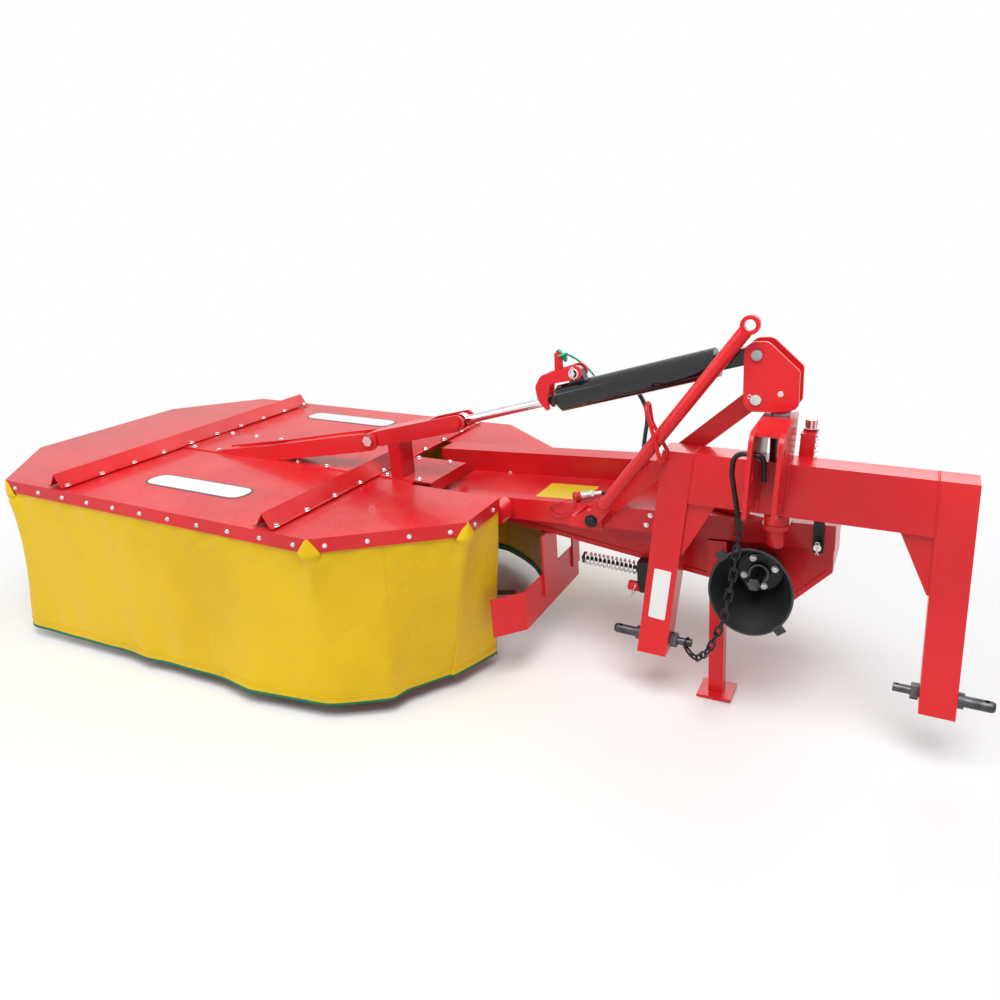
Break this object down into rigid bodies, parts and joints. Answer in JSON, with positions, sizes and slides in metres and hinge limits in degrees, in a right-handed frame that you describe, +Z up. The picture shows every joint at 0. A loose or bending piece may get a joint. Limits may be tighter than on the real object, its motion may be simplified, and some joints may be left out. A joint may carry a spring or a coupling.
{
  "type": "drum mower",
  "caption": "Rear-mounted two-drum rotary mower with side deck, lift arm, hydraulic cylinder and three-point hitch frame, parked on its stand",
  "frame": {"origin": "on the floor under the middle of the machine's bounding box", "axes": "+X runs across the tractor from the mowing unit to the hitch's far end, +Z up, -Y towards the tractor"},
  "size_m": [3.045, 1.21, 1.0885],
  "materials": {
    "red_paint": "gloss",
    "black_paint": "satin",
    "bare_steel": "satin",
    "zinc_plate": "satin",
    "chrome_rod": "gloss",
    "black_plastic": "matte",
    "cast_hub": "satin",
    "worn_steel": "satin",
    "black_rubber": "matte",
    "green_rope": "matte",
    "yellow_cloth": "satin"
  },
  "bodies": {
    "hitch_frame": {"crossbeam": "red_paint", "swing_bush": "zinc_plate", "leg_right": "red_paint", "leg_left": "red_paint", "gussets": "red_paint", "lower_pin_right": "bare_steel", "lower_pin_left": "bare_steel", "top_link_bracket": "red_paint", "stay": "red_paint", "stay_loop": "red_paint", "hook_rod": "bare_steel", "hook_chain": "zinc_plate", "relief_bracket": "red_paint", "relief_spring": "zinc_plate"},
    "carrier": {"belt_lid": "red_paint", "belt_housing": "red_paint", "rear_beam": "red_paint", "swing_plate": "red_paint", "swing_pin": "bare_steel", "mast_head": "red_paint", "mast_ear_front": "red_paint", "mast_ear_rear": "red_paint", "ram_base_pin": "bare_steel", "brace_pin": "bare_steel", "brace": "red_paint", "stay_lug": "red_paint", "guard_plate": "red_paint", "latch": "bare_steel", "latch_spring": "black_paint", "pin_strap": "black_paint", "pto_guard": "black_plastic", "pto_flange": "cast_hub", "stand_sleeve": "red_paint", "hose": "black_rubber", "coupler": "zinc_plate"},
    "pto_shaft": {"pto_shaft": "bare_steel"},
    "stand": {"stand_leg": "red_paint"},
    "mower_unit": {"deck": "red_paint", "curtain": "yellow_cloth", "gear_beam": "red_paint", "gear_cover": "red_paint", "angle_drive": "red_paint", "ridge_inner": "red_paint", "ridge_outer": "red_paint", "lower_arm": "red_paint", "upper_arm": "red_paint", "arm_bolt": "zinc_plate", "arm_post": "red_paint"},
    "drum_inner": {"drum_inner": "red_paint", "disc_inner": "red_paint", "knives_inner": "worn_steel"},
    "drum_outer": {"drum_outer": "red_paint", "disc_outer": "red_paint", "knives_outer": "worn_steel"},
    "saucer_inner": {"saucer_inner": "worn_steel"},
    "saucer_outer": {"saucer_outer": "worn_steel"},
    "cylinder_barrel": {"ram_barrel": "black_paint"},
    "cylinder_rod": {"ram_rod": "chrome_rod"},
    "lock_hook": {"lock_hook": "red_paint", "rope": "green_rope"}
  },
  "joints": [
    {"name": "swing", "type": "hinge", "parent": "hitch_frame", "child": "carrier", "pos_m": [0.98071, -0.07, 0.72872], "axis": [0.0593, 0, -0.9982], "range_deg": [0, 60]},
    {"name": "lift", "type": "hinge", "parent": "carrier", "child": "mower_unit", "pos_m": [0.204, -0.07, 0.484], "axis": [0, 1, 0], "range_deg": [0, 60]},
    {"name": "barrel_pivot", "type": "hinge", "parent": "carrier", "child": "cylinder_barrel", "pos_m": [0.91378, -0.07, 0.99521], "axis": [0, 1, 0], "range_deg": [-12.41, 0.5]},
    {"name": "rod_slide", "type": "slide", "parent": "cylinder_barrel", "child": "cylinder_rod", "axis": [0.9576, 0, 0.2881], "range_m": [-0.002, 0.2463]},
    {"name": "hook_lift", "type": "hinge", "parent": "cylinder_barrel", "child": "lock_hook", "pos_m": [0.45379, -0.07, 0.91709], "axis": [0, 1, 0], "range_deg": [0, 55]},
    {"name": "drum_inner_spin", "type": "hinge", "parent": "mower_unit", "child": "drum_inner", "pos_m": [-0.2285, 0, 0.25], "axis": [0, 0, 1], "continuous": true},
    {"name": "drum_outer_spin", "type": "hinge", "parent": "mower_unit", "child": "drum_outer", "pos_m": [-1.0385, 0, 0.25], "axis": [0, 0, 1], "continuous": true},
    {"name": "saucer_inner_spin", "type": "hinge", "parent": "drum_inner", "child": "saucer_inner", "pos_m": [-0.2285, 0, 0.03], "axis": [0, 0, 1], "continuous": true},
    {"name": "saucer_outer_spin", "type": "hinge", "parent": "drum_outer", "child": "saucer_outer", "pos_m": [-1.0385, 0, 0.03], "axis": [0, 0, 1], "continuous": true},
    {"name": "pto_spin", "type": "hinge", "parent": "carrier", "child": "pto_shaft", "pos_m": [0.9506, -0.05, 0.39234], "axis": [0, -1, 0], "continuous": true},
    {"name": "stand_slide", "type": "slide", "parent": "carrier", "child": "stand", "axis": [-0.0593, 0, 0.9982], "range_m": [0, 0.08]}
  ],
  "couplings": [
    {"joint": "barrel_pivot", "follows": "lift", "ratio": -0.19853},
    {"joint": "rod_slide", "follows": "lift", "m_per_rad": 0.23325},
    {"joint": "drum_outer_spin", "follows": "drum_inner_spin", "ratio": -1},
    {"joint": "pto_spin", "follows": "drum_inner_spin", "ratio": 0.3}
  ]
}
